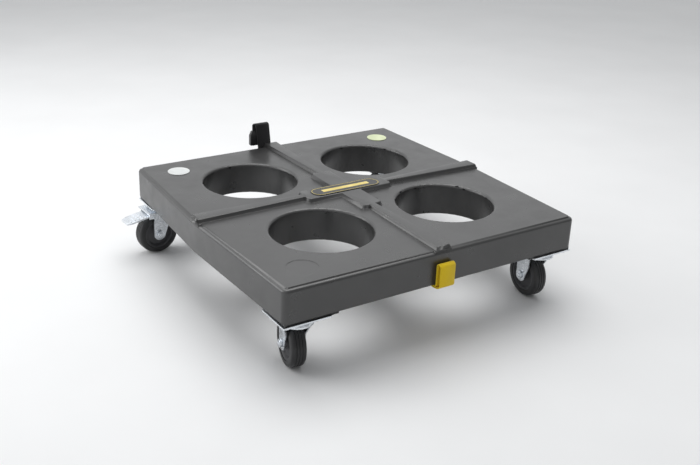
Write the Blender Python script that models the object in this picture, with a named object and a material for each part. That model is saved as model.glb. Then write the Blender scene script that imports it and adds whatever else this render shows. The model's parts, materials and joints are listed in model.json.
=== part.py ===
"""A wheeled case trolley: a hollow moulded deck with four round wells, on four swivel castors.

Lengths are in metres, +Z is up, the front is at -Y and the floor is at z = 0.
"""

import math

import bmesh
import bpy
from mathutils import Matrix, Vector

# Gap kept between pieces that touch or fit into each other
FIT_GAP = 0.0003

# Deck moulding
DECK_WIDTH = 0.730
DECK_DEPTH = 0.730
SIDE_KINK = 0.014
CORNER_RADIUS = 0.014
CORNER_STEPS = 4
DECK_HEIGHT = 0.072
WALL = 0.005
TOP_FILLET = 0.006
BOTTOM_FILLET = 0.004
LEDGE_WIDTH = 0.0075
PANEL_RISE = 0.003
RIB_RISE = 0.009
PAD_SIDE = 0.118
PAD_DEPTH = 0.004
PAD_MARGIN = 0.004

# Round wells through the deck
WELL_RADIUS = 0.1094
WELL_OFFSET = 0.162
WELL_TOP_FILLET = 0.007
WELL_BOTTOM_FLARE = 0.003
WELL_STEPS = 40
FILLET_STEPS = 3

# Raised cross on the deck: a plus-shaped hub with a rib to the middle of each side
HUB_HALF_WIDTH = 0.0285
HUB_HALF_LENGTH = 0.115
HUB_END_CHAMFER = 0.006
RIB_HALF_AT_HUB = 0.011
RIB_HALF_AT_EDGE = 0.020
RIB_SIDE_SLOPE = 0.0045
RIB_END_INSET = 0.0008

# Trim let into the deck
PLATE_LENGTH = 0.180
PLATE_WIDTH = 0.042
TRIM_THICKNESS = 0.0016
RECESS_DEPTH = 0.0008
DISC_RADIUS = 0.026
DISC_OFFSET_X = 0.288
DISC_OFFSET_Y = 0.291
EMBLEM_RADIUS = 0.0325
EMBLEM_OFFSET_X = 0.287
EMBLEM_OFFSET_Y = 0.296
VENT_X = 0.034
VENT_Y = -0.074
VENT_RADIUS = 0.0035
VENT_HEAD_RADIUS = 0.005
VENT_HEAD_HEIGHT = 0.001
VENT_PLUG_LENGTH = 0.006

# Castors
CASTOR_HEIGHT = 0.128
CASTOR_INSET_X = 0.0535
CASTOR_INSET_Y = 0.0445
TOP_PLATE_LENGTH = 0.105
TOP_PLATE_WIDTH = 0.085
TOP_PLATE_THICKNESS = 0.003
BOLT_SPACING_X = 0.080
BOLT_SPACING_Y = 0.060
BOLT_RADIUS = 0.0037
BOLT_HEAD_RADIUS = 0.0072
BOLT_HEAD_HEIGHT = 0.005
BOLT_REACH = 0.016
BOSS_RADIUS = 0.011
BOSS_HEIGHT = 0.024
RACE_RADIUS = 0.033
RACE_HEIGHT = 0.0064
KINGPIN_RADIUS = 0.007
KINGPIN_HEAD_RADIUS = 0.011
KINGPIN_HEAD_HEIGHT = 0.004
CROWN_RADIUS = 0.034
CROWN_HEIGHT = 0.0047
FORK_TOP_THICKNESS = 0.003
FORK_LEG_THICKNESS = 0.003
FORK_TOP_HALF = 0.032
HOOD_REACH = 0.060
HOOD_HALF_AT_TIP = 0.029
LEG_LEAD_AT_TOP = -0.011
LEG_INNER_AT_AXLE = 0.018
LEG_BOSS_RADIUS = 0.015
LEG_STRAIGHT_RISE = 0.028
TRAIL = 0.028
WHEEL_RADIUS = 0.050
TYRE_WIDTH = 0.032
TYRE_SHOULDER = 0.006
TYRE_INNER_RADIUS = 0.036
WEB_HALF_WIDTH = 0.007
HUB_BOSS_RADIUS = 0.012
AXLE_RADIUS = 0.0047
AXLE_CLEARANCE = 0.0005
AXLE_HEAD_RADIUS = 0.0085
AXLE_HEAD_HEIGHT = 0.005
AXLE_THREAD_END = 0.002
WHEEL_STEPS = 24
ROUND_STEPS = 16

# Brake pedals on the two back castors
PEDAL_PIN_OUT = 0.048
PEDAL_PIN_DROP = 0.026
PEDAL_PIN_RADIUS = 0.0025
PEDAL_BOSS_RADIUS = 0.005
PEDAL_HALF_WIDTH = 0.022
PEDAL_REACH = 0.110
PEDAL_DROP = 0.010
PEDAL_THICKNESS = 0.004
PEDAL_RIB_COUNT = 4
PEDAL_RIB_HEIGHT = 0.0015
PEDAL_RIB_WIDTH = 0.003
CHEEK_INNER = 0.0225
CHEEK_THICKNESS = 0.003
CHEEK_HALF_LENGTH = 0.008
CHEEK_BELOW_PIN = 0.006

# Webbing, its buckle and its screws
WEB_WIDTH = 0.038
WEB_THICKNESS = 0.003
LOOP_X = 0.002
LOOP_STAND = 0.015
LOOP_BELOW_TOP = 0.023
LOOP_TAIL = 0.036
STRAP_X = -0.008
STRAP_TOP_X = -0.022
STRAP_TAIL_X = -0.028
STRAP_ABOVE_DECK = 0.062
STRAP_FOLD_RADIUS = 0.004
STRAP_TAIL_END = 0.003
STRAP_FRONT_MARGIN = 0.045
BUCKLE_WIDTH = 0.052
BUCKLE_DEPTH = 0.011
BUCKLE_BOTTOM = 0.005
BUCKLE_HEIGHT = 0.038
BUCKLE_TAPER = 0.004
SCREW_OFFSET_Y = 0.200
SCREW_RADIUS = 0.0022
SCREW_HEAD_RADIUS = 0.006
SCREW_HEAD_HEIGHT = 0.003
SCREW_REACH = 0.012
SCREW_BOSS_RADIUS = 0.008

# Levels above the floor
UNDERSIDE_Z = CASTOR_HEIGHT + PAD_DEPTH
LEDGE_Z = UNDERSIDE_Z + DECK_HEIGHT
PANEL_Z = LEDGE_Z + PANEL_RISE
RIB_Z = PANEL_Z + RIB_RISE
PLATE_BOTTOM_Z = CASTOR_HEIGHT - FIT_GAP - TOP_PLATE_THICKNESS
RACE_TOP_Z = PLATE_BOTTOM_Z - FIT_GAP
CROWN_TOP_Z = RACE_TOP_Z - RACE_HEIGHT - FIT_GAP
FORK_TOP_Z = CROWN_TOP_Z - CROWN_HEIGHT
FORK_UNDER_Z = FORK_TOP_Z - FORK_TOP_THICKNESS
PIN_Z = CASTOR_HEIGHT - PEDAL_PIN_DROP

# The deck's middle, set so that the whole trolley's box is centred on the origin
FRONT_REACH = DECK_DEPTH / 2 + LOOP_STAND
TAIL_OUT = FIT_GAP + WEB_THICKNESS / 2 + 2 * STRAP_FOLD_RADIUS
BACK_REACH = DECK_DEPTH / 2 + TAIL_OUT + BUCKLE_DEPTH / 2
DECK_CENTRE_Y = (FRONT_REACH - BACK_REACH) / 2

# Each castor: name, side along X, side along Y, direction of its trail in degrees, brake
CASTORS = (
    ("front_left", -1, -1, 79.0, False),
    ("front_right", 1, -1, 84.0, False),
    ("back_left", -1, 1, 184.0, True),
    ("back_right", 1, 1, -4.0, True),
)

for leftover in list(bpy.data.objects):
    bpy.data.objects.remove(leftover, do_unlink=True)


def surface(name, colour, roughness, metallic=0.0):
    """Make a plain material."""
    made = bpy.data.materials.new(name)
    made.use_nodes = True
    shader = made.node_tree.nodes["Principled BSDF"]
    shader.inputs["Base Color"].default_value = (*colour, 1.0)
    shader.inputs["Roughness"].default_value = roughness
    shader.inputs["Metallic"].default_value = metallic
    return made


BLACK_MOULDING = surface("black_moulding", (0.025, 0.025, 0.027), 0.35)
ZINC = surface("zinc_plate", (0.62, 0.64, 0.67), 0.35, 1.0)
TYRE_RUBBER = surface("tyre_rubber", (0.06, 0.06, 0.06), 0.7)
HUB_PLASTIC = surface("hub_plastic", (0.10, 0.10, 0.11), 0.5)
YELLOW_WEBBING = surface("yellow_webbing", (0.9, 0.72, 0.0), 0.8)
BLACK_WEBBING = surface("black_webbing", (0.02, 0.02, 0.022), 0.85)
BUCKLE_PLASTIC = surface("buckle_plastic", (0.02, 0.02, 0.02), 0.4)
PLATE_FACE = surface("plate_face", (0.02, 0.02, 0.02), 0.3)
PALE_DISC = surface("pale_disc", (0.75, 0.75, 0.72), 0.4)


def solid(name, mesh_data):
    """Turn a bmesh into an object with its faces pointing outwards."""
    bmesh.ops.recalc_face_normals(mesh_data, faces=mesh_data.faces)
    mesh = bpy.data.meshes.new(name)
    mesh_data.to_mesh(mesh)
    mesh_data.free()
    made = bpy.data.objects.new(name, mesh)
    bpy.context.scene.collection.objects.link(made)
    return made


def loft(name, loops):
    """Join loops of equally many points into one closed body with flat ends."""
    mesh_data = bmesh.new()
    rings = [[mesh_data.verts.new(point) for point in loop] for loop in loops]
    for low, high in zip(rings, rings[1:]):
        for index, corner in enumerate(low):
            after = (index + 1) % len(low)
            mesh_data.faces.new((corner, low[after], high[after], high[index]))
    mesh_data.faces.new(rings[0])
    mesh_data.faces.new(rings[-1])
    return solid(name, mesh_data)


def circle(radius, height, steps, centre=(0.0, 0.0)):
    """Points of a level circle."""
    turns = [2 * math.pi * step / steps for step in range(steps)]
    return [
        (centre[0] + radius * math.cos(turn), centre[1] + radius * math.sin(turn), height)
        for turn in turns
    ]


def turned(name, profile, steps, centre=(0.0, 0.0)):
    """Turn a profile of (radius, height) pairs into a solid body about Z."""
    return loft(name, [circle(radius, height, steps, centre) for radius, height in profile])


def ring(name, profile, steps):
    """Turn a closed profile of (radius, height) pairs into a ring about Z."""
    mesh_data = bmesh.new()
    loops = [[mesh_data.verts.new(point) for point in circle(*pair, steps)] for pair in profile]
    for index, low in enumerate(loops):
        high = loops[(index + 1) % len(loops)]
        for step in range(steps):
            after = (step + 1) % steps
            mesh_data.faces.new((low[step], low[after], high[after], high[step]))
    return solid(name, mesh_data)


def block(name, low, high):
    """Make a box from its lowest to its highest corner."""
    corners = [(low[0], low[1]), (high[0], low[1]), (high[0], high[1]), (low[0], high[1])]
    return loft(name, [[(*corner, level) for corner in corners] for level in (low[2], high[2])])


def combine(target, other, operation):
    """Join or cut the target with another object, which is used up."""
    change = target.modifiers.new(operation.title(), "BOOLEAN")
    change.operation = operation
    change.solver = "EXACT"
    change.object = other
    bpy.context.view_layer.update()
    graph = bpy.context.evaluated_depsgraph_get()
    target.data = bpy.data.meshes.new_from_object(target.evaluated_get(graph))
    target.modifiers.clear()
    bpy.data.objects.remove(other, do_unlink=True)


def dress(made, material, smooth_angle=35.0):
    """Give an object its only material and smooth its round faces."""
    made.data.materials.clear()
    made.data.materials.append(material)
    made.data.shade_smooth()
    made.data.set_sharp_from_angle(angle=math.radians(smooth_angle))
    return made


def on_deck(made, material):
    """Place a piece that was built about the deck's middle, and dress it."""
    made.location = (0.0, DECK_CENTRE_Y, 0.0)
    return dress(made, material)


def lay_along_y(made):
    """Turn a body built about Z so that its axis lies along Y."""
    made.data.transform(Matrix.Rotation(math.radians(-90.0), 4, "X"))
    return made


def deck_outline(inset, height):
    """Points of the deck's outline, drawn in by an inset: round corners and kinked sides."""
    half_x = DECK_WIDTH / 2 - inset
    half_y = DECK_DEPTH / 2 - inset
    radius = max(CORNER_RADIUS - inset, CORNER_RADIUS / 3)
    points = []
    for quarter, (side_x, side_y) in enumerate(((1, -1), (1, 1), (-1, 1), (-1, -1))):
        for step in range(CORNER_STEPS + 1):
            turn = math.radians(-90 + 90 * quarter + 90 * step / CORNER_STEPS)
            points.append((
                side_x * (half_x - radius) + radius * math.cos(turn),
                side_y * (half_y - radius) + radius * math.sin(turn),
                height,
            ))
        if quarter in (0, 2):
            points.append((side_x * (half_x + SIDE_KINK), 0.0, height))
    return points


def cross_outline(inset, height):
    """Points of the raised cross: four arms that step in to ribs, which widen to the edge."""
    hub = HUB_HALF_WIDTH - inset
    hub_end = HUB_HALF_LENGTH - inset
    near = RIB_HALF_AT_HUB - inset
    far = RIB_HALF_AT_EDGE - inset
    points = []
    for quarter in range(4):
        sideways = SIDE_KINK if quarter % 2 == 0 else 0.0
        reach = (DECK_WIDTH if quarter % 2 == 0 else DECK_DEPTH) / 2 + sideways
        end = reach - RIB_END_INSET - inset
        arm = (
            (hub, -hub),
            (hub_end - HUB_END_CHAMFER, -hub),
            (hub_end, -(hub - HUB_END_CHAMFER)),
            (hub_end, -near),
            (end, -far),
            (end, far),
            (hub_end, near),
            (hub_end, hub - HUB_END_CHAMFER),
            (hub_end - HUB_END_CHAMFER, hub),
        )
        turn = Matrix.Rotation(math.radians(90.0 * quarter), 3, "Z")
        points.extend(turn @ Vector((along, across, height)) for along, across in arm)
    return points


def well_profile():
    """Radius and height along a well's wall, flared at the bottom and rounded at the top."""
    profile = [
        (WELL_RADIUS + 2 * WELL_BOTTOM_FLARE, UNDERSIDE_Z - WELL_BOTTOM_FLARE),
        (WELL_RADIUS, UNDERSIDE_Z + WELL_BOTTOM_FLARE),
    ]
    for step in range(FILLET_STEPS + 1):
        turn = math.pi / 2 * step / FILLET_STEPS
        profile.append((
            WELL_RADIUS + WELL_TOP_FILLET * (1 - math.cos(turn)),
            PANEL_Z - WELL_TOP_FILLET * (1 - math.sin(turn)),
        ))
    profile.append((WELL_RADIUS + WELL_TOP_FILLET, RIB_Z))
    return profile


def castor_centre(side_x, side_y):
    """Where a castor's swivel axis stands, measured from the deck's middle."""
    return (
        side_x * (DECK_WIDTH / 2 - CASTOR_INSET_X),
        side_y * (DECK_DEPTH / 2 - CASTOR_INSET_Y),
    )


def bolt_places(side_x, side_y):
    """The four bolt places of one castor, measured from the deck's middle."""
    centre_x, centre_y = castor_centre(side_x, side_y)
    signs = ((-1, -1), (1, -1), (1, 1), (-1, 1))
    return [
        (centre_x + sign_x * BOLT_SPACING_X / 2, centre_y + sign_y * BOLT_SPACING_Y / 2)
        for sign_x, sign_y in signs
    ]


def deck_cavity():
    """The hollow inside the deck: clear of the wells, the bolt bosses and the screw bosses."""
    floor_z = UNDERSIDE_Z + WALL
    cavity = loft("cavity", [deck_outline(WALL, floor_z), deck_outline(WALL, LEDGE_Z - WALL)])
    for side_x in (-1, 1):
        for side_y in (-1, 1):
            centre = (side_x * WELL_OFFSET, side_y * WELL_OFFSET)
            tube = [(WELL_RADIUS + WALL, UNDERSIDE_Z), (WELL_RADIUS + WALL, RIB_Z)]
            combine(cavity, turned("tube", tube, WELL_STEPS, centre), "DIFFERENCE")
            for place in bolt_places(side_x, side_y):
                boss = [(BOSS_RADIUS, UNDERSIDE_Z), (BOSS_RADIUS, UNDERSIDE_Z + BOSS_HEIGHT)]
                combine(cavity, turned("boss", boss, ROUND_STEPS // 2, place), "DIFFERENCE")
    for side_y in (-1, 1):
        place = (STRAP_X, side_y * SCREW_OFFSET_Y)
        boss = [(SCREW_BOSS_RADIUS, UNDERSIDE_Z), (SCREW_BOSS_RADIUS, UNDERSIDE_Z + BOSS_HEIGHT)]
        combine(cavity, turned("boss", boss, ROUND_STEPS // 2, place), "DIFFERENCE")
    return cavity


def plate_outline(margin, height):
    """Points of the nameplate's outline: straight sides and round ends."""
    radius = PLATE_WIDTH / 2
    points = []
    for side in (1, -1):
        for step in range(ROUND_STEPS // 2 + 1):
            turn = math.radians(-90.0 + 180.0 * step / (ROUND_STEPS // 2))
            reach = (radius + margin) * math.cos(turn)
            across = (radius + margin) * math.sin(turn)
            points.append((side * (PLATE_LENGTH / 2 - radius + reach), side * across, height))
    return points


def make_deck():
    """The hollow moulded deck with its wells, cross, pads, recesses and holes."""
    bend = TOP_FILLET * (1 - math.cos(math.pi / 4))
    deck = loft("deck_shell", [
        deck_outline(BOTTOM_FILLET, UNDERSIDE_Z),
        deck_outline(0.0, UNDERSIDE_Z + BOTTOM_FILLET),
        deck_outline(0.0, LEDGE_Z - TOP_FILLET),
        deck_outline(bend, LEDGE_Z - bend),
        deck_outline(TOP_FILLET, LEDGE_Z),
        deck_outline(LEDGE_WIDTH, LEDGE_Z),
        deck_outline(LEDGE_WIDTH + PANEL_RISE / 2, PANEL_Z),
    ])
    slope = RIB_SIDE_SLOPE
    cross = loft("cross", [
        cross_outline(0.0, LEDGE_Z - TOP_FILLET),
        cross_outline(0.0, PANEL_Z + RIB_RISE / 12),
        cross_outline(slope * 0.4, PANEL_Z + RIB_RISE * 0.25),
        cross_outline(slope * 0.7, PANEL_Z + RIB_RISE * 0.8),
        cross_outline(slope, RIB_Z),
    ])
    combine(deck, cross, "UNION")
    for name, side_x, side_y, _, _ in CASTORS:
        middle_x = side_x * (DECK_WIDTH / 2 - PAD_MARGIN - PAD_SIDE / 2)
        middle_y = side_y * (DECK_DEPTH / 2 - PAD_MARGIN - PAD_SIDE / 2)
        pad = block(
            "pad_" + name,
            (middle_x - PAD_SIDE / 2, middle_y - PAD_SIDE / 2, CASTOR_HEIGHT),
            (middle_x + PAD_SIDE / 2, middle_y + PAD_SIDE / 2, UNDERSIDE_Z + WALL / 2),
        )
        combine(deck, pad, "UNION")
    combine(deck, deck_cavity(), "DIFFERENCE")
    for _, side_x, side_y, _, _ in CASTORS:
        centre = (side_x * WELL_OFFSET, side_y * WELL_OFFSET)
        combine(deck, turned("well", well_profile(), WELL_STEPS, centre), "DIFFERENCE")
        for place in bolt_places(side_x, side_y):
            hole = [
                (BOLT_RADIUS + FIT_GAP, CASTOR_HEIGHT - WALL),
                (BOLT_RADIUS + FIT_GAP, CASTOR_HEIGHT + BOLT_REACH + FIT_GAP),
            ]
            combine(deck, turned("bolt_hole", hole, ROUND_STEPS // 2, place), "DIFFERENCE")
    for side_y in (-1, 1):
        hole = [
            (SCREW_RADIUS + FIT_GAP, UNDERSIDE_Z - WALL),
            (SCREW_RADIUS + FIT_GAP, UNDERSIDE_Z + SCREW_REACH + FIT_GAP),
        ]
        place = (STRAP_X, side_y * SCREW_OFFSET_Y)
        combine(deck, turned("screw_hole", hole, ROUND_STEPS // 2, place), "DIFFERENCE")
    recesses = (
        (DISC_RADIUS + FIT_GAP, -DISC_OFFSET_X, DISC_OFFSET_Y),
        (DISC_RADIUS + FIT_GAP, DISC_OFFSET_X, DISC_OFFSET_Y),
        (EMBLEM_RADIUS, -EMBLEM_OFFSET_X, -EMBLEM_OFFSET_Y),
    )
    for radius, place_x, place_y in recesses:
        recess = [(radius, PANEL_Z - RECESS_DEPTH), (radius, RIB_Z)]
        cutter = turned("recess", recess, 2 * ROUND_STEPS, (place_x, place_y))
        combine(deck, cutter, "DIFFERENCE")
    plate_recess = loft("plate_recess", [
        plate_outline(FIT_GAP, RIB_Z - RECESS_DEPTH),
        plate_outline(FIT_GAP, RIB_Z + WALL),
    ])
    combine(deck, plate_recess, "DIFFERENCE")
    vent = [(VENT_RADIUS + FIT_GAP, LEDGE_Z - 2 * WALL), (VENT_RADIUS + FIT_GAP, RIB_Z)]
    combine(deck, turned("vent", vent, ROUND_STEPS, (VENT_X, VENT_Y)), "DIFFERENCE")
    on_deck(deck, BLACK_MOULDING)


def make_trim():
    """The nameplate, the two discs and the vent plug."""
    low = RIB_Z - RECESS_DEPTH + FIT_GAP
    plate = loft("nameplate", [plate_outline(0.0, low), plate_outline(0.0, low + TRIM_THICKNESS)])
    on_deck(plate, PLATE_FACE)
    for name, side_x in (("disc_back_left", -1), ("disc_back_right", 1)):
        low = PANEL_Z - RECESS_DEPTH + FIT_GAP
        profile = [(DISC_RADIUS, low), (DISC_RADIUS, low + TRIM_THICKNESS)]
        place = (side_x * DISC_OFFSET_X, DISC_OFFSET_Y)
        on_deck(turned(name, profile, 2 * ROUND_STEPS, place), PALE_DISC)
    head_z = PANEL_Z + FIT_GAP
    profile = [
        (VENT_RADIUS, head_z - VENT_PLUG_LENGTH),
        (VENT_RADIUS, head_z),
        (VENT_HEAD_RADIUS, head_z),
        (VENT_HEAD_RADIUS, head_z + VENT_HEAD_HEIGHT),
    ]
    on_deck(turned("vent_plug", profile, ROUND_STEPS, (VENT_X, VENT_Y)), BUCKLE_PLASTIC)


def ellipse_arc(centre, radii, start, end, steps):
    """Points (y, z) of an arc of an ellipse, between two angles in degrees."""
    points = []
    for step in range(steps + 1):
        turn = math.radians(start + (end - start) * step / steps)
        points.append((
            centre[0] + radii[0] * math.cos(turn),
            centre[1] + radii[1] * math.sin(turn),
        ))
    return points


def ribbon(name, path):
    """A flat webbing body along (x, y, z) points, its width along X."""
    loops = []
    for index, (place_x, place_y, place_z) in enumerate(path):
        before = path[max(index - 1, 0)]
        after = path[min(index + 1, len(path) - 1)]
        run = Vector((0.0, after[1] - before[1], after[2] - before[2])).normalized()
        out = Vector((0.0, -run.z, run.y)) * WEB_THICKNESS / 2
        middle = Vector((place_x, place_y, place_z))
        side = Vector((WEB_WIDTH / 2, 0.0, 0.0))
        loops.append([middle - side - out, middle + side - out, middle + side + out, middle - side + out])
    return loft(name, loops)


def make_front_loop():
    """The yellow webbing loop that stands off the front wall."""
    wall = -DECK_DEPTH / 2
    corner = (wall + BOTTOM_FILLET, UNDERSIDE_Z + BOTTOM_FILLET)
    close = BOTTOM_FILLET + FIT_GAP + WEB_THICKNESS / 2
    inner = wall - FIT_GAP - WEB_THICKNESS / 2
    outer = wall - LOOP_STAND + WEB_THICKNESS / 2
    fold = (inner - outer) / 2
    fold_z = LEDGE_Z - LOOP_BELOW_TOP - fold
    lower = close + WEB_THICKNESS + FIT_GAP
    flat = [(corner[0] + LOOP_TAIL, corner[1] - close)]
    flat += ellipse_arc(corner, (close, close), 270, 180, 6)
    flat += ellipse_arc(((inner + outer) / 2, fold_z), (fold, fold), 0, 180, 8)
    flat += ellipse_arc(corner, (corner[0] - outer, lower), 180, 270, 6)
    flat += [(corner[0] + LOOP_TAIL, corner[1] - lower)]
    on_deck(ribbon("front_loop", [(LOOP_X, *point) for point in flat]), YELLOW_WEBBING)


def make_lashing_strap():
    """The black strap under the deck, which rises at the back and folds over."""
    wall = DECK_DEPTH / 2
    corner = (wall - BOTTOM_FILLET, UNDERSIDE_Z + BOTTOM_FILLET)
    close = BOTTOM_FILLET + FIT_GAP + WEB_THICKNESS / 2
    rise_y = corner[0] + close
    fold_z = PANEL_Z + STRAP_ABOVE_DECK - STRAP_FOLD_RADIUS
    path = [(STRAP_X, -wall + STRAP_FRONT_MARGIN, corner[1] - close)]
    path += [(STRAP_X, *point) for point in ellipse_arc(corner, (close, close), -90, 0, 6)]
    fold = ellipse_arc((rise_y + STRAP_FOLD_RADIUS, fold_z), (STRAP_FOLD_RADIUS,) * 2, 180, 0, 6)
    for index, point in enumerate(fold):
        share = index / (len(fold) - 1)
        path.append((STRAP_TOP_X + share * (STRAP_TAIL_X - STRAP_TOP_X), *point))
    tail = (STRAP_TAIL_X, rise_y + 2 * STRAP_FOLD_RADIUS, PANEL_Z + STRAP_TAIL_END)
    path.append(tail)
    strap = ribbon("lashing_strap", path)
    for side_y in (-1, 1):
        hole = [
            (SCREW_RADIUS + FIT_GAP, UNDERSIDE_Z - 2 * WALL),
            (SCREW_RADIUS + FIT_GAP, UNDERSIDE_Z + WALL),
        ]
        place = (STRAP_X, side_y * SCREW_OFFSET_Y)
        combine(strap, turned("hole", hole, ROUND_STEPS // 2, place), "DIFFERENCE")
    on_deck(strap, BLACK_WEBBING)
    low_z = PANEL_Z + BUCKLE_BOTTOM
    sections = []
    for height, taper in ((0.0, 0.0), (BUCKLE_HEIGHT * 0.7, 0.0), (BUCKLE_HEIGHT, BUCKLE_TAPER)):
        half_x = BUCKLE_WIDTH / 2 - taper
        half_y = BUCKLE_DEPTH / 2 - taper / 2
        corners = ((-half_x, -half_y), (half_x, -half_y), (half_x, half_y), (-half_x, half_y))
        sections.append([(tail[0] + x, tail[1] + y, low_z + height) for x, y in corners])
    buckle = loft("strap_buckle", sections)
    half_slot = (WEB_WIDTH / 2 + FIT_GAP, WEB_THICKNESS / 2 + FIT_GAP)
    slot = block(
        "slot",
        (tail[0] - half_slot[0], tail[1] - half_slot[1], low_z - WALL),
        (tail[0] + half_slot[0], tail[1] + half_slot[1], low_z + BUCKLE_HEIGHT + WALL),
    )
    combine(buckle, slot, "DIFFERENCE")
    on_deck(buckle, BUCKLE_PLASTIC)
    for name, side_y in (("strap_screw_front", -1), ("strap_screw_back", 1)):
        head_top = UNDERSIDE_Z - 2 * FIT_GAP - WEB_THICKNESS
        profile = [
            (SCREW_HEAD_RADIUS * 0.7, head_top - SCREW_HEAD_HEIGHT),
            (SCREW_HEAD_RADIUS, head_top - SCREW_HEAD_HEIGHT * 0.6),
            (SCREW_HEAD_RADIUS, head_top),
            (SCREW_RADIUS, head_top),
            (SCREW_RADIUS, UNDERSIDE_Z + SCREW_REACH),
        ]
        place = (STRAP_X, side_y * SCREW_OFFSET_Y)
        on_deck(turned(name, profile, ROUND_STEPS // 2, place), ZINC)


def make_top_plate(name, side_x, side_y):
    """A castor's top plate with its kingpin, and the swivel race and bolts that go with it."""
    centre_x, centre_y = castor_centre(side_x, side_y)
    plate = block(
        "top_plate_" + name,
        (centre_x - TOP_PLATE_LENGTH / 2, centre_y - TOP_PLATE_WIDTH / 2, PLATE_BOTTOM_Z),
        (centre_x + TOP_PLATE_LENGTH / 2, centre_y + TOP_PLATE_WIDTH / 2, PLATE_BOTTOM_Z + TOP_PLATE_THICKNESS),
    )
    head_top = FORK_UNDER_Z - FIT_GAP
    kingpin = turned("kingpin", [
        (KINGPIN_HEAD_RADIUS * 0.7, head_top - KINGPIN_HEAD_HEIGHT),
        (KINGPIN_HEAD_RADIUS, head_top - KINGPIN_HEAD_HEIGHT / 2),
        (KINGPIN_HEAD_RADIUS, head_top),
        (KINGPIN_RADIUS, head_top),
        (KINGPIN_RADIUS, PLATE_BOTTOM_Z + TOP_PLATE_THICKNESS / 2),
    ], ROUND_STEPS, (centre_x, centre_y))
    combine(plate, kingpin, "UNION")
    head_z = PLATE_BOTTOM_Z - FIT_GAP
    for number, place in enumerate(bolt_places(side_x, side_y), start=1):
        hole = [
            (BOLT_RADIUS + FIT_GAP, PLATE_BOTTOM_Z - TOP_PLATE_THICKNESS),
            (BOLT_RADIUS + FIT_GAP, CASTOR_HEIGHT + TOP_PLATE_THICKNESS),
        ]
        combine(plate, turned("hole", hole, ROUND_STEPS // 2, place), "DIFFERENCE")
        head = turned("plate_bolt_%s_%d" % (name, number), [
            (BOLT_HEAD_RADIUS, head_z - BOLT_HEAD_HEIGHT),
            (BOLT_HEAD_RADIUS, head_z),
        ], 6, place)
        shank = turned("shank", [
            (BOLT_RADIUS, head_z - BOLT_HEAD_HEIGHT / 2),
            (BOLT_RADIUS, CASTOR_HEIGHT + BOLT_REACH),
        ], ROUND_STEPS // 2, place)
        combine(head, shank, "UNION")
        on_deck(head, ZINC)
    on_deck(plate, ZINC)
    race = ring("swivel_race_" + name, [
        (KINGPIN_RADIUS + FIT_GAP, RACE_TOP_Z - RACE_HEIGHT),
        (RACE_RADIUS * 0.9, RACE_TOP_Z - RACE_HEIGHT),
        (RACE_RADIUS, RACE_TOP_Z - RACE_HEIGHT / 2),
        (RACE_RADIUS * 0.9, RACE_TOP_Z),
        (KINGPIN_RADIUS + FIT_GAP, RACE_TOP_Z),
    ], WHEEL_STEPS)
    race.location = (centre_x, centre_y + DECK_CENTRE_Y, 0.0)
    dress(race, ZINC)


def leg_rows():
    """Height, leading edge and trailing edge of a fork leg, from its foot to its top."""
    rows = []
    for share in (0.97, 0.75, 0.4, 0.0):
        half = LEG_BOSS_RADIUS * math.sqrt(1.0 - share * share)
        rows.append((WHEEL_RADIUS - share * LEG_BOSS_RADIUS, TRAIL - half, TRAIL + half))
    top_z = FORK_UNDER_Z + FORK_TOP_THICKNESS / 2
    straight_z = WHEEL_RADIUS + LEG_STRAIGHT_RISE
    for share in (0.0, 0.4, 0.7, 0.9, 1.0):
        height = straight_z + share * (top_z - straight_z)
        climb = (height - WHEEL_RADIUS) / (top_z - WHEEL_RADIUS)
        lead = TRAIL - LEG_BOSS_RADIUS + climb * (LEG_LEAD_AT_TOP - TRAIL + LEG_BOSS_RADIUS)
        trail = TRAIL + LEG_BOSS_RADIUS
        sweep = 1.0 - math.sqrt(1.0 - (share * 0.98) ** 2)
        rows.append((height, lead, trail + sweep * (HOOD_REACH - 0.004 - trail)))
    return rows


def leg_inner(height):
    """How far a fork leg's inner face stands from the wheel's middle at a height."""
    straight_z = WHEEL_RADIUS + LEG_STRAIGHT_RISE
    share = max(0.0, (height - straight_z) / (FORK_UNDER_Z - straight_z))
    top_inner = FORK_TOP_HALF - FORK_LEG_THICKNESS
    return LEG_INNER_AT_AXLE + min(share, 1.0) * (top_inner - LEG_INNER_AT_AXLE)


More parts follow.
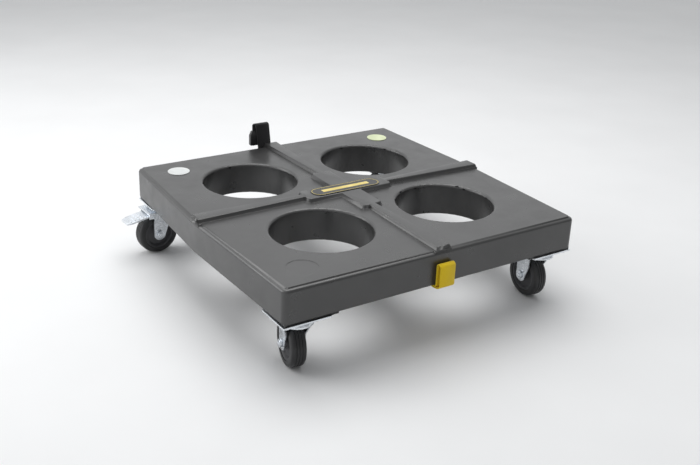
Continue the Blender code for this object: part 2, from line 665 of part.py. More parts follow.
def make_fork(name, braked):
    """A castor fork about its swivel axis, its trail along X."""
    outline = []
    for step in range(ROUND_STEPS // 2 + 1):
        turn = math.radians(110.0 + 140.0 * step / (ROUND_STEPS // 2))
        outline.append((CROWN_RADIUS * math.cos(turn), CROWN_RADIUS * math.sin(turn)))
    outline += [
        (CROWN_RADIUS * 0.5, -FORK_TOP_HALF - FIT_GAP),
        (HOOD_REACH, -HOOD_HALF_AT_TIP),
        (HOOD_REACH, HOOD_HALF_AT_TIP),
        (CROWN_RADIUS * 0.5, FORK_TOP_HALF + FIT_GAP),
    ]
    top = [[(*point, level) for point in outline] for level in (FORK_UNDER_Z, FORK_TOP_Z)]
    fork = loft("fork_" + name, top)
    crown = turned("crown", [
        (CROWN_RADIUS, FORK_UNDER_Z + FORK_TOP_THICKNESS / 2),
        (CROWN_RADIUS * 0.98, CROWN_TOP_Z - CROWN_HEIGHT / 3),
        (CROWN_RADIUS * 0.9, CROWN_TOP_Z),
    ], WHEEL_STEPS)
    combine(fork, crown, "UNION")
    for side in (-1, 1):
        loops = []
        for height, lead, trail in leg_rows():
            inner = side * leg_inner(height)
            outer = side * (leg_inner(height) + FORK_LEG_THICKNESS)
            corners = ((lead, inner), (trail, inner), (trail, outer), (lead, outer))
            loops.append([(*corner, height) for corner in corners])
        combine(fork, loft("leg", loops), "UNION")
        if braked:
            cheek = block(
                "cheek",
                (PEDAL_PIN_OUT - CHEEK_HALF_LENGTH, min(side * CHEEK_INNER, side * (CHEEK_INNER + CHEEK_THICKNESS)),
                 PIN_Z - CHEEK_BELOW_PIN),
                (PEDAL_PIN_OUT + CHEEK_HALF_LENGTH, max(side * CHEEK_INNER, side * (CHEEK_INNER + CHEEK_THICKNESS)),
                 FORK_UNDER_Z + FORK_TOP_THICKNESS / 2),
            )
            combine(fork, cheek, "UNION")
    bore = [(KINGPIN_RADIUS + FIT_GAP, FORK_UNDER_Z - WALL), (KINGPIN_RADIUS + FIT_GAP, CROWN_TOP_Z + WALL)]
    combine(fork, turned("bore", bore, ROUND_STEPS), "DIFFERENCE")
    axle_hole = lay_along_y(turned("axle_hole", [
        (AXLE_RADIUS + FIT_GAP, -FORK_TOP_HALF),
        (AXLE_RADIUS + FIT_GAP, FORK_TOP_HALF),
    ], ROUND_STEPS))
    axle_hole.location = (TRAIL, 0.0, WHEEL_RADIUS)
    combine(fork, axle_hole, "DIFFERENCE")
    if braked:
        pin_hole = lay_along_y(turned("pin_hole", [
            (PEDAL_PIN_RADIUS + FIT_GAP, -FORK_TOP_HALF),
            (PEDAL_PIN_RADIUS + FIT_GAP, FORK_TOP_HALF),
        ], ROUND_STEPS // 2))
        pin_hole.location = (PEDAL_PIN_OUT, 0.0, PIN_Z)
        combine(fork, pin_hole, "DIFFERENCE")
    return dress(fork, ZINC)


def make_wheel(name):
    """A tyre and its hub about the axle, which lies along Y."""
    half = TYRE_WIDTH / 2
    tyre = ring("tyre_" + name, [
        (TYRE_INNER_RADIUS, -half),
        (WHEEL_RADIUS - TYRE_SHOULDER, -half),
        (WHEEL_RADIUS - TYRE_SHOULDER * 0.3, -half + TYRE_SHOULDER * 0.5),
        (WHEEL_RADIUS, -half + TYRE_SHOULDER * 1.5),
        (WHEEL_RADIUS, half - TYRE_SHOULDER * 1.5),
        (WHEEL_RADIUS - TYRE_SHOULDER * 0.3, half - TYRE_SHOULDER * 0.5),
        (WHEEL_RADIUS - TYRE_SHOULDER, half),
        (TYRE_INNER_RADIUS, half),
    ], WHEEL_STEPS)
    rim_outer = TYRE_INNER_RADIUS - FIT_GAP
    boss_half = LEG_INNER_AT_AXLE - FIT_GAP
    bore = AXLE_RADIUS + AXLE_CLEARANCE
    hub = ring("wheel_hub_" + name, [
        (bore, -boss_half),
        (HUB_BOSS_RADIUS, -boss_half),
        (HUB_BOSS_RADIUS + AXLE_CLEARANCE, -WEB_HALF_WIDTH),
        (rim_outer * 0.88, -WEB_HALF_WIDTH),
        (rim_outer * 0.9, -half * 0.92),
        (rim_outer, -half * 0.92),
        (rim_outer, half * 0.92),
        (rim_outer * 0.9, half * 0.92),
        (rim_outer * 0.88, WEB_HALF_WIDTH),
        (HUB_BOSS_RADIUS + AXLE_CLEARANCE, WEB_HALF_WIDTH),
        (HUB_BOSS_RADIUS, boss_half),
        (bore, boss_half),
    ], WHEEL_STEPS)
    return [dress(lay_along_y(tyre), TYRE_RUBBER), dress(lay_along_y(hub), HUB_PLASTIC)]


def make_axle(name):
    """The axle bolt and its nut, about the axle, which lies along Y."""
    seat = LEG_INNER_AT_AXLE + FORK_LEG_THICKNESS + FIT_GAP
    bolt = turned("axle_bolt_" + name, [
        (AXLE_HEAD_RADIUS, -seat - AXLE_HEAD_HEIGHT),
        (AXLE_HEAD_RADIUS, -seat),
    ], 6)
    shank = turned("shank", [
        (AXLE_RADIUS, -seat - AXLE_HEAD_HEIGHT / 2),
        (AXLE_RADIUS, seat + AXLE_HEAD_HEIGHT + AXLE_THREAD_END),
    ], ROUND_STEPS)
    combine(bolt, shank, "UNION")
    nut = ring("axle_nut_" + name, [
        (AXLE_RADIUS + FIT_GAP, seat),
        (AXLE_HEAD_RADIUS, seat),
        (AXLE_HEAD_RADIUS, seat + AXLE_HEAD_HEIGHT),
        (AXLE_RADIUS + FIT_GAP, seat + AXLE_HEAD_HEIGHT),
    ], ROUND_STEPS)
    return [dress(lay_along_y(bolt), ZINC), dress(lay_along_y(nut), ZINC)]


def make_pedal(name):
    """The brake pedal about its pin, which lies along Y, reaching out along X."""
    reach = PEDAL_REACH - PEDAL_PIN_OUT
    half = PEDAL_THICKNESS / 2
    root = PEDAL_BOSS_RADIUS * 0.5
    sections = []
    for share, width_share in ((0.0, 1.0), (0.8, 1.0), (1.0, 0.75)):
        along = root + share * (reach - root)
        drop = share * PEDAL_DROP
        width = PEDAL_HALF_WIDTH * width_share - FIT_GAP
        sections.append([
            (along, -width, -drop - half),
            (along, width, -drop - half),
            (along, width, -drop + half),
            (along, -width, -drop + half),
        ])
    pedal = loft("brake_pedal_" + name, sections)
    boss = lay_along_y(turned("boss", [
        (PEDAL_BOSS_RADIUS, -PEDAL_HALF_WIDTH),
        (PEDAL_BOSS_RADIUS, PEDAL_HALF_WIDTH),
    ], ROUND_STEPS))
    combine(pedal, boss, "UNION")
    for number in range(PEDAL_RIB_COUNT):
        share = 0.3 + 0.5 * number / (PEDAL_RIB_COUNT - 1)
        along = root + share * (reach - root)
        top = -share * PEDAL_DROP + half
        rib = block(
            "rib",
            (along, -PEDAL_HALF_WIDTH * 0.8, top - half),
            (along + PEDAL_RIB_WIDTH, PEDAL_HALF_WIDTH * 0.8, top + PEDAL_RIB_HEIGHT),
        )
        combine(pedal, rib, "UNION")
    bore = lay_along_y(turned("bore", [
        (PEDAL_PIN_RADIUS + FIT_GAP, -FORK_TOP_HALF),
        (PEDAL_PIN_RADIUS + FIT_GAP, FORK_TOP_HALF),
    ], ROUND_STEPS))
    combine(pedal, bore, "DIFFERENCE")
    return dress(pedal, ZINC)


def make_pedal_pin(name):
    """The pin that a brake pedal turns on."""
    half = CHEEK_INNER + CHEEK_THICKNESS + FIT_GAP
    return dress(lay_along_y(turned("pedal_pin_" + name, [
        (PEDAL_PIN_RADIUS, -half),
        (PEDAL_PIN_RADIUS, half),
    ], ROUND_STEPS)), ZINC)


def axis_empty(name, parent, place, turn=0.0):
    """An empty on a joint's axis, which carries the pieces that move with it."""
    made = bpy.data.objects.new(name, None)
    bpy.context.scene.collection.objects.link(made)
    made.parent = parent
    made.location = place
    made.rotation_euler = (0.0, 0.0, math.radians(turn))
    return made


def make_castor(name, side_x, side_y, yaw, braked):
    """One swivel castor: its plate, race and bolts, and its fork, wheel, axle and brake."""
    make_top_plate(name, side_x, side_y)
    centre_x, centre_y = castor_centre(side_x, side_y)
    swivel = axis_empty("swivel_axis_" + name, None, (centre_x, centre_y + DECK_CENTRE_Y, 0.0), yaw)
    make_fork(name, braked).parent = swivel
    axle = axis_empty("axle_axis_" + name, swivel, (TRAIL, 0.0, WHEEL_RADIUS))
    for piece in make_wheel(name) + make_axle(name):
        piece.parent = axle
    if braked:
        pin = axis_empty("pedal_axis_" + name, swivel, (PEDAL_PIN_OUT, 0.0, PIN_Z))
        make_pedal(name).parent = pin
        make_pedal_pin(name).parent = pin


make_deck()
make_trim()
make_front_loop()
make_lashing_strap()
for castor in CASTORS:
    make_castor(*castor)
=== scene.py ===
"""The wheeled case trolley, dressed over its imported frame: finishes, webbing, tyres, hubs and trim.

Lengths are in metres, in the frame's own axes: +X right, +Y to the back and +Z up from the floor.
"""

import json
import logging
import math
from dataclasses import dataclass
from enum import Enum

import bmesh
import bpy
from mathutils import Matrix, Vector

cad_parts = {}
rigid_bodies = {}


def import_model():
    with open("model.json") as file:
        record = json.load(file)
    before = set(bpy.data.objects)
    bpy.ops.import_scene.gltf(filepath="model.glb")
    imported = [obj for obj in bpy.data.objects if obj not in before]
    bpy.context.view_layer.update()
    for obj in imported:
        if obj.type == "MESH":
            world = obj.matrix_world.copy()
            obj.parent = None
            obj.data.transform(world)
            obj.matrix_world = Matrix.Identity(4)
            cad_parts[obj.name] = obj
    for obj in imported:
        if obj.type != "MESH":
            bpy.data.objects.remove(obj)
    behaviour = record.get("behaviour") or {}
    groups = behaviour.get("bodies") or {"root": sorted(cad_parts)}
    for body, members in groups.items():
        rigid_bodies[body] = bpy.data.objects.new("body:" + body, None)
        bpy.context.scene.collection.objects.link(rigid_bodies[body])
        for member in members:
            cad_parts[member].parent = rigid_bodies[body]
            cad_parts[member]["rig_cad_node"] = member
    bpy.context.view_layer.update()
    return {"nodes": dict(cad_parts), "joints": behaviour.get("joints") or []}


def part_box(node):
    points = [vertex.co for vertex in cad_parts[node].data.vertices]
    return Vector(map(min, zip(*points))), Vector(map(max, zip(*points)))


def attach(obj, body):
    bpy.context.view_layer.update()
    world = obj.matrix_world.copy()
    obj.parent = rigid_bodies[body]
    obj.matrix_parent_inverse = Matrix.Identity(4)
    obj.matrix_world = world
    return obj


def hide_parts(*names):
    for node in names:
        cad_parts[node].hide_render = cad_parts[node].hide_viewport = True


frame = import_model()

LOG = logging.getLogger("trolley")
MM = 0.001
WELD = 0.00001
NOISE_LOW = 0.3
NOISE_HIGH = 0.7
WAVE_RATE = 20.0
SMOOTH_ANGLE = 35.0
EDGE_ANGLE = 40.0
EDGE_SEGMENTS = 2
CORNERS = ("front_left", "front_right", "back_left", "back_right")
SQUARE = ((-1, -1), (1, -1), (1, 1), (-1, 1))

Point = tuple[float, float, float]
Pair = tuple[float, float]


class Graph:
    """A material's node tree, built from its surface shader backwards."""

    def __init__(self, name: str) -> None:
        """Start a material with its own surface shader.

        Args:
            name: The material's name.
        """
        self.material = bpy.data.materials.new(name)
        self.material.use_nodes = True
        self.tree = self.material.node_tree
        self.shader = self.tree.nodes["Principled BSDF"]
        self.place = self.add("ShaderNodeTexCoord")

    def add(self, kind: str, **settings: object) -> bpy.types.Node:
        """Add a node.

        Args:
            kind: Blender's name for the node's type.
            **settings: Properties to set on it.

        Returns:
            The new node.
        """
        node = self.tree.nodes.new(kind)
        for key, value in settings.items():
            setattr(node, key, value)
        return node

    def link(self, source: bpy.types.NodeSocket, target: bpy.types.NodeSocket) -> None:
        """Join an output to an input."""
        self.tree.links.new(source, target)

    def noise(self, scale: float, detail: float = 3.0) -> bpy.types.NodeSocket:
        """Noise on the piece's own coordinates.

        Args:
            scale: Lumps for each metre.
            detail: How many finer layers it has.

        Returns:
            The noise value.
        """
        node = self.add("ShaderNodeTexNoise")
        node.inputs["Scale"].default_value = scale
        node.inputs["Detail"].default_value = detail
        self.link(self.place.outputs["Object"], node.inputs["Vector"])
        return node.outputs["Fac"]

    def spread(self, value: bpy.types.NodeSocket, low: float, high: float) -> bpy.types.NodeSocket:
        """Stretch the middle of a noise over a range.

        Args:
            value: The noise.
            low: The result at its low end.
            high: The result at its high end.

        Returns:
            The stretched value.
        """
        node = self.add("ShaderNodeMapRange")
        node.inputs["From Min"].default_value = NOISE_LOW
        node.inputs["From Max"].default_value = NOISE_HIGH
        node.inputs["To Min"].default_value = low
        node.inputs["To Max"].default_value = high
        self.link(value, node.inputs["Value"])
        return node.outputs["Result"]

    def mottle(self, scale: float, detail: float, low: Point, high: Point) -> None:
        """Colour the surface in clouds between two colours.

        Args:
            scale: Clouds for each metre.
            detail: How many finer layers they have.
            low: The darker colour.
            high: The lighter colour.
        """
        self.tint(self.spread(self.noise(scale, detail), 0.0, 1.0), low, high)

    def vary_gloss(self, scale: float, detail: float, gloss: Pair) -> None:
        """Let the roughness wander between two values.

        Args:
            scale: Patches for each metre.
            detail: How many finer layers they have.
            gloss: The lowest and the highest roughness.
        """
        self.link(self.spread(self.noise(scale, detail), *gloss), self.shader.inputs["Roughness"])

    def tint(self, value: bpy.types.NodeSocket, low: Point, high: Point) -> None:
        """Colour the surface between two colours.

        Args:
            value: Where between them, from 0 to 1.
            low: The colour at 0.
            high: The colour at 1.
        """
        ramp = self.add("ShaderNodeValToRGB")
        ramp.color_ramp.elements[0].color = (*low, 1.0)
        ramp.color_ramp.elements[1].color = (*high, 1.0)
        self.link(value, ramp.inputs["Fac"])
        self.link(ramp.outputs["Color"], self.shader.inputs["Base Color"])

    def bump(self, value: bpy.types.NodeSocket, depth: float, strength: float) -> None:
        """Raise the surface by a value.

        Args:
            value: The height, from 0 to 1.
            depth: How deep the relief is.
            strength: How much of it shows.
        """
        node = self.add("ShaderNodeBump")
        node.inputs["Distance"].default_value = depth
        node.inputs["Strength"].default_value = strength
        self.link(value, node.inputs["Height"])
        self.link(node.outputs["Normal"], self.shader.inputs["Normal"])


@dataclass(frozen=True)
class MouldedFinish:
    """Moulded plastic or rubber: a fine grain, uneven gloss and slight clouds."""

    name: str
    dark: Point
    light: Point
    gloss: Pair
    grain: float = 900.0
    relief: float = 0.25
    bending: float = 1.5
    clouds: Pair = (7.0, 6.0)
    patches: Pair = (22.0, 5.0)
    grain_detail: float = 2.0
    depth: float = 0.3 * MM

    def make(self) -> bpy.types.Material:
        """Build the material."""
        graph = Graph(self.name)
        graph.shader.inputs["IOR"].default_value = self.bending
        graph.mottle(*self.clouds, self.dark, self.light)
        graph.vary_gloss(*self.patches, self.gloss)
        graph.bump(graph.noise(self.grain, self.grain_detail), self.depth, self.relief)
        return graph.material


@dataclass(frozen=True)
class MetalFinish:
    """Zinc plated steel: a cool tint, cloudy gloss and slight waviness."""

    name: str
    dark: Point
    light: Point
    gloss: Pair
    clouds: Pair = (60.0, 5.0)
    patches: Pair = (140.0, 4.0)
    waves: Pair = (260.0, 3.0)
    depth: float = 0.3 * MM
    relief: float = 0.12

    def make(self) -> bpy.types.Material:
        """Build the material."""
        graph = Graph(self.name)
        graph.shader.inputs["Metallic"].default_value = 1.0
        graph.mottle(*self.clouds, self.dark, self.light)
        graph.vary_gloss(*self.patches, self.gloss)
        graph.bump(graph.noise(*self.waves), self.depth, self.relief)
        return graph.material


@dataclass(frozen=True)
class WebbingFinish:
    """Woven webbing: crosswise picks and lengthwise cords that follow the band."""

    name: str
    dark: Point
    light: Point
    picks: float = 1.5
    cords: float = 2.2
    wander: float = 0.4
    roughness: float = 0.8
    sheen: float = 0.2
    depth: float = 0.35 * MM
    relief: float = 0.8

    def make(self) -> bpy.types.Material:
        """Build the material, which reads the band's own map in millimetres."""
        graph = Graph(self.name)
        waves = []
        for direction, spacing in (("Y", self.picks), ("X", self.cords)):
            wave = graph.add("ShaderNodeTexWave", bands_direction=direction)
            wave.inputs["Scale"].default_value = math.tau / (WAVE_RATE * spacing)
            wave.inputs["Distortion"].default_value = self.wander
            graph.link(graph.place.outputs["UV"], wave.inputs["Vector"])
            waves.append(wave.outputs["Fac"])
        weave = graph.add("ShaderNodeMath", operation="MULTIPLY")
        graph.link(waves[0], weave.inputs[0])
        graph.link(waves[1], weave.inputs[1])
        graph.tint(weave.outputs["Value"], self.dark, self.light)
        graph.shader.inputs["Roughness"].default_value = self.roughness
        graph.shader.inputs["Sheen Weight"].default_value = self.sheen
        graph.bump(weave.outputs["Value"], self.depth, self.relief)
        return graph.material


@dataclass(frozen=True)
class PrintedFinish:
    """A flat printed face: an even colour under a thin gloss."""

    name: str
    dark: Point
    light: Point
    gloss: float = 0.3
    clouds: Pair = (40.0, 4.0)
    grain: Pair = (500.0, 2.0)
    depth: float = 0.1 * MM
    relief: float = 0.1

    def make(self) -> bpy.types.Material:
        """Build the material."""
        graph = Graph(self.name)
        graph.mottle(*self.clouds, self.dark, self.light)
        graph.shader.inputs["Roughness"].default_value = self.gloss
        graph.bump(graph.noise(*self.grain), self.depth, self.relief)
        return graph.material


Recipe = MouldedFinish | MetalFinish | WebbingFinish | PrintedFinish


class Finish(Enum):
    """The finishes on the trolley, each with its slot in the record."""

    MOULDING = ("black_moulding", MouldedFinish(
        "trolley_moulding", (0.022, 0.022, 0.022), (0.036, 0.036, 0.036), (0.26, 0.38),
        relief=0.12, bending=1.7))
    TYRE = ("tyre_rubber", MouldedFinish(
        "castor_tyre", (0.010, 0.010, 0.011), (0.024, 0.024, 0.025), (0.34, 0.50),
        grain=600.0, relief=0.3))
    HUB = ("hub_plastic", MouldedFinish(
        "castor_hub", (0.05, 0.05, 0.055), (0.085, 0.085, 0.09), (0.4, 0.55)))
    ZINC = ("zinc_plate", MetalFinish(
        "castor_zinc", (0.66, 0.69, 0.72), (0.86, 0.89, 0.93), (0.22, 0.38)))
    YELLOW = ("yellow_webbing", WebbingFinish(
        "loop_webbing", (0.80, 0.52, 0.0), (1.0, 0.82, 0.0)))
    BLACK = ("black_webbing", WebbingFinish(
        "strap_webbing", (0.006, 0.006, 0.007), (0.035, 0.035, 0.038)))
    BUCKLE = ("buckle_plastic", MouldedFinish(
        "strap_buckle_plastic", (0.012, 0.012, 0.013), (0.022, 0.022, 0.024), (0.3, 0.4)))
    PLATE = ("plate_face", PrintedFinish(
        "nameplate_black", (0.010, 0.010, 0.010), (0.018, 0.018, 0.018)))
    GOLD = ("plate_face", PrintedFinish(
        "nameplate_gold", (0.62, 0.48, 0.10), (0.80, 0.64, 0.20)))
    WHITE_DISC = ("pale_disc", PrintedFinish(
        "disc_white", (0.60, 0.62, 0.62), (0.75, 0.77, 0.76)))
    GREEN_DISC = ("pale_disc", PrintedFinish(
        "disc_green", (0.55, 0.62, 0.36), (0.70, 0.76, 0.48)))

    def __init__(self, slot: str, recipe: Recipe) -> None:
        """Keep the record's slot and the recipe of the material.

        Args:
            slot: The record's material slot.
            recipe: The finish that builds the material.
        """
        self.slot = slot
        self.recipe = recipe
        self.built = None

    def material(self) -> bpy.types.Material:
        """The finish's material, built once."""
        if self.built is None:
            self.built = self.recipe.make()
        return self.built


def dress(piece: bpy.types.Object, finish: Finish, smooth: float = SMOOTH_ANGLE) -> None:
    """Give a piece its only material and smooth its round faces.

    Args:
        piece: The piece.
        finish: Its finish.
        smooth: The largest angle in degrees that is smoothed over.
    """
    piece.data.materials.clear()
    piece.data.materials.append(finish.material())
    piece.data.shade_smooth()
    piece.data.set_sharp_from_angle(angle=math.radians(smooth))
    LOG.info("dressed %s in %s", piece.name, finish.slot)


def linked(name: str, mesh_data: bmesh.types.BMesh) -> bpy.types.Object:
    """Turn mesh data into a piece with its faces pointing outwards.

    Args:
        name: The piece's name.
        mesh_data: Its mesh, which is used up.

    Returns:
        The new piece, at the origin.
    """
    bmesh.ops.recalc_face_normals(mesh_data, faces=mesh_data.faces)
    mesh = bpy.data.meshes.new(name)
    mesh_data.to_mesh(mesh)
    mesh_data.free()
    piece = bpy.data.objects.new(name, mesh)
    bpy.context.scene.collection.objects.link(piece)
    return piece


def skin(mesh_data: bmesh.types.BMesh, rows: list[list], closed: bool) -> list[bmesh.types.BMFace]:
    """Join rows of vertices that each run round a piece.

    Args:
        mesh_data: The mesh that holds them.
        rows: The rows, in order.
        closed: Whether the last row joins the first. Otherwise both ends get a cap.

    Returns:
        The faces between the rows, without the caps.
    """
    faces = []
    followers = rows[1:] + rows[:1] if closed else rows[1:]
    for low, high in zip(rows, followers):
        for step in range(len(low)):
            after = (step + 1) % len(low)
            faces.append(mesh_data.faces.new((low[step], low[after], high[after], high[step])))
    if not closed:
        mesh_data.faces.new(rows[0])
        mesh_data.faces.new(rows[-1])
    return faces


def ring(name: str, profile: list[Pair], steps: int) -> bpy.types.Object:
    """Turn a closed profile about Z into a ring.

    Args:
        name: The ring's name.
        profile: Pairs of radius and height.
        steps: How many faces go round it.

    Returns:
        The ring.
    """
    mesh_data = bmesh.new()
    turns = [math.tau * step / steps for step in range(steps)]
    rows = [
        [
            mesh_data.verts.new((radius * math.cos(turn), radius * math.sin(turn), height))
            for turn in turns
        ]
        for radius, height in profile
    ]
    skin(mesh_data, rows, closed=True)
    return linked(name, mesh_data)


def arc(centre: Pair, radii: Pair, start: float, end: float, steps: int) -> list[Pair]:
    """Points of an arc of an ellipse.

    Args:
        centre: Its middle, along Y and Z.
        radii: Its half sizes along Y and Z.
        start: The first angle in degrees.
        end: The last angle in degrees.
        steps: How many steps it takes.

    Returns:
        Points along Y and Z.
    """
    turns = [math.radians(start + (end - start) * step / steps) for step in range(steps + 1)]
    return [
        (centre[0] + radii[0] * math.cos(turn), centre[1] + radii[1] * math.sin(turn))
        for turn in turns
    ]


def copy_of(node: str, name: str) -> bpy.types.Object:
    """A merged copy of a frame node, which is then refined.

    Args:
        node: The frame node.
        name: The copy's name.

    Returns:
        The copy, which stands for the node.
    """
    source = frame["nodes"][node]
    piece = bpy.data.objects.new(name, source.data.copy())
    bpy.context.scene.collection.objects.link(piece)
    mesh_data = bmesh.new()
    mesh_data.from_mesh(piece.data)
    bmesh.ops.remove_doubles(mesh_data, verts=mesh_data.verts, dist=WELD)
    mesh_data.to_mesh(piece.data)
    mesh_data.free()
    return piece


def apply_modifiers(piece: bpy.types.Object) -> None:
    """Make a piece's modifiers part of its mesh."""
    bpy.ops.object.select_all(action="DESELECT")
    piece.select_set(True)
    bpy.context.view_layer.objects.active = piece
    for modifier in list(piece.modifiers):
        bpy.ops.object.modifier_apply(modifier=modifier.name)


def round_edges(piece: bpy.types.Object, width: float) -> None:
    """Round a piece's sharp edges.

    Args:
        piece: The piece.
        width: The width of the rounding.
    """
    bevel = piece.modifiers.new("edge", "BEVEL")
    bevel.width = width
    bevel.segments = EDGE_SEGMENTS
    bevel.limit_method = "ANGLE"
    bevel.angle_limit = math.radians(EDGE_ANGLE)
    apply_modifiers(piece)


@dataclass
class Deck:
    """The moulded deck, its nameplate, its discs and its vent plug."""

    well_radius: float = 0.1094
    well_offset: float = 0.162
    fillet: float = 0.007
    fillet_steps: int = 8
    well_steps: int = 160
    panel_z: float = 0.207
    top_z: float = 0.216
    border_inset: float = 0.0022
    border_width: float = 0.0011
    border_rise: float = 0.0002
    border_steps: int = 24
    field_half: Pair = (0.062, 0.0065)
    cutter_core: float = 0.0001
    cutter_reach: float = 0.01
    smooth: float = 32.0
    level_weight: int = 100

    def middle_y(self) -> float:
        """How far the deck's middle stands from the frame's origin along Y."""
        low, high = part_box("deck_shell")
        return (low.y + high.y) / 2

    def well_cutter(self, side_x: int, side_y: int) -> bpy.types.Object:
        """A fine cutter that makes one of the wells truly round.

        Args:
            side_x: The well's side along X.
            side_y: Its side along Y.

        Returns:
            The cutter.
        """
        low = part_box("deck_shell")[0].z - self.cutter_reach
        profile = [(self.cutter_core, low), (self.well_radius, low)]
        for step in range(self.fillet_steps + 1):
            turn = math.pi / 2 * step / self.fillet_steps
            profile.append((
                self.well_radius + self.fillet * (1 - math.cos(turn)),
                self.panel_z - self.fillet * (1 - math.sin(turn)),
            ))
        profile += [(self.well_radius + self.fillet, self.top_z), (self.cutter_core, self.top_z)]
        cutter = ring("well_cutter", profile, self.well_steps)
        place = (side_x * self.well_offset, side_y * self.well_offset + self.middle_y(), 0.0)
        cutter.data.transform(Matrix.Translation(place))
        return cutter

    def build_shell(self) -> None:
        """Refine the moulded shell: round wells, and flat faces that shade flat."""
        shell = copy_of("deck_shell", "deck_moulding")
        for side_x in (-1, 1):
            for side_y in (-1, 1):
                cutter = self.well_cutter(side_x, side_y)
                cut = shell.modifiers.new("well", "BOOLEAN")
                cut.operation = "DIFFERENCE"
                cut.solver = "EXACT"
                cut.object = cutter
                apply_modifiers(shell)
                bpy.data.objects.remove(cutter)
        dress(shell, Finish.MOULDING, self.smooth)
        level = shell.modifiers.new("level", "WEIGHTED_NORMAL")
        level.weight = self.level_weight
        level.keep_sharp = True
        apply_modifiers(shell)
        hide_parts("deck_shell")
        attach(shell, "root")

    def build_border(self) -> None:
        """The thin gold line round the nameplate's edge."""
        low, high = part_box("nameplate")
        centre = (low + high) / 2
        radius = (high.y - low.y) / 2
        straight = (high.x - low.x) / 2 - radius
        outer = radius - self.border_inset
        inner = outer - self.border_width
        rise = self.border_rise
        mesh_data = bmesh.new()
        rows = []
        for reach, lift in ((outer, -rise), (outer, rise), (inner, rise), (inner, -rise)):
            row = []
            for side in (1, -1):
                for step in range(self.border_steps + 1):
                    turn = math.radians(-90.0 + 180.0 * step / self.border_steps)
                    across = reach * math.sin(turn)
                    along = straight + reach * math.cos(turn)
                    row.append(mesh_data.verts.new((
                        centre.x + side * along, centre.y + side * across, high.z + lift)))
            rows.append(row)
        skin(mesh_data, rows, closed=True)
        border = linked("nameplate_border", mesh_data)
        dress(border, Finish.GOLD)
        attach(border, "root")
        self.build_field(centre, high.z)

    def build_field(self, centre: Vector, top: float) -> None:
        """The plain gold field where the plate's words would be.

        Args:
            centre: The plate's middle.
            top: The height of its face.
        """
        half_x, half_y = self.field_half
        rise = self.border_rise
        mesh_data = bmesh.new()
        rows = [
            [
                mesh_data.verts.new((
                    centre.x + side_x * (half_x - inset),
                    centre.y + side_y * (half_y - inset),
                    top + lift,
                ))
                for side_x, side_y in SQUARE
            ]
            for inset, lift in ((0.0, -rise), (0.0, 0.0), (rise, rise))
        ]
        skin(mesh_data, rows, closed=False)
        field = linked("nameplate_field", mesh_data)
        dress(field, Finish.GOLD)
        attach(field, "root")

    def build(self) -> None:
        """Build and dress the deck and its trim."""
        self.build_shell()
        self.build_border()
        dress(frame["nodes"]["nameplate"], Finish.PLATE)
        dress(frame["nodes"]["disc_back_left"], Finish.WHITE_DISC)
        dress(frame["nodes"]["disc_back_right"], Finish.GREEN_DISC)
        dress(frame["nodes"]["vent_plug"], Finish.BUCKLE)


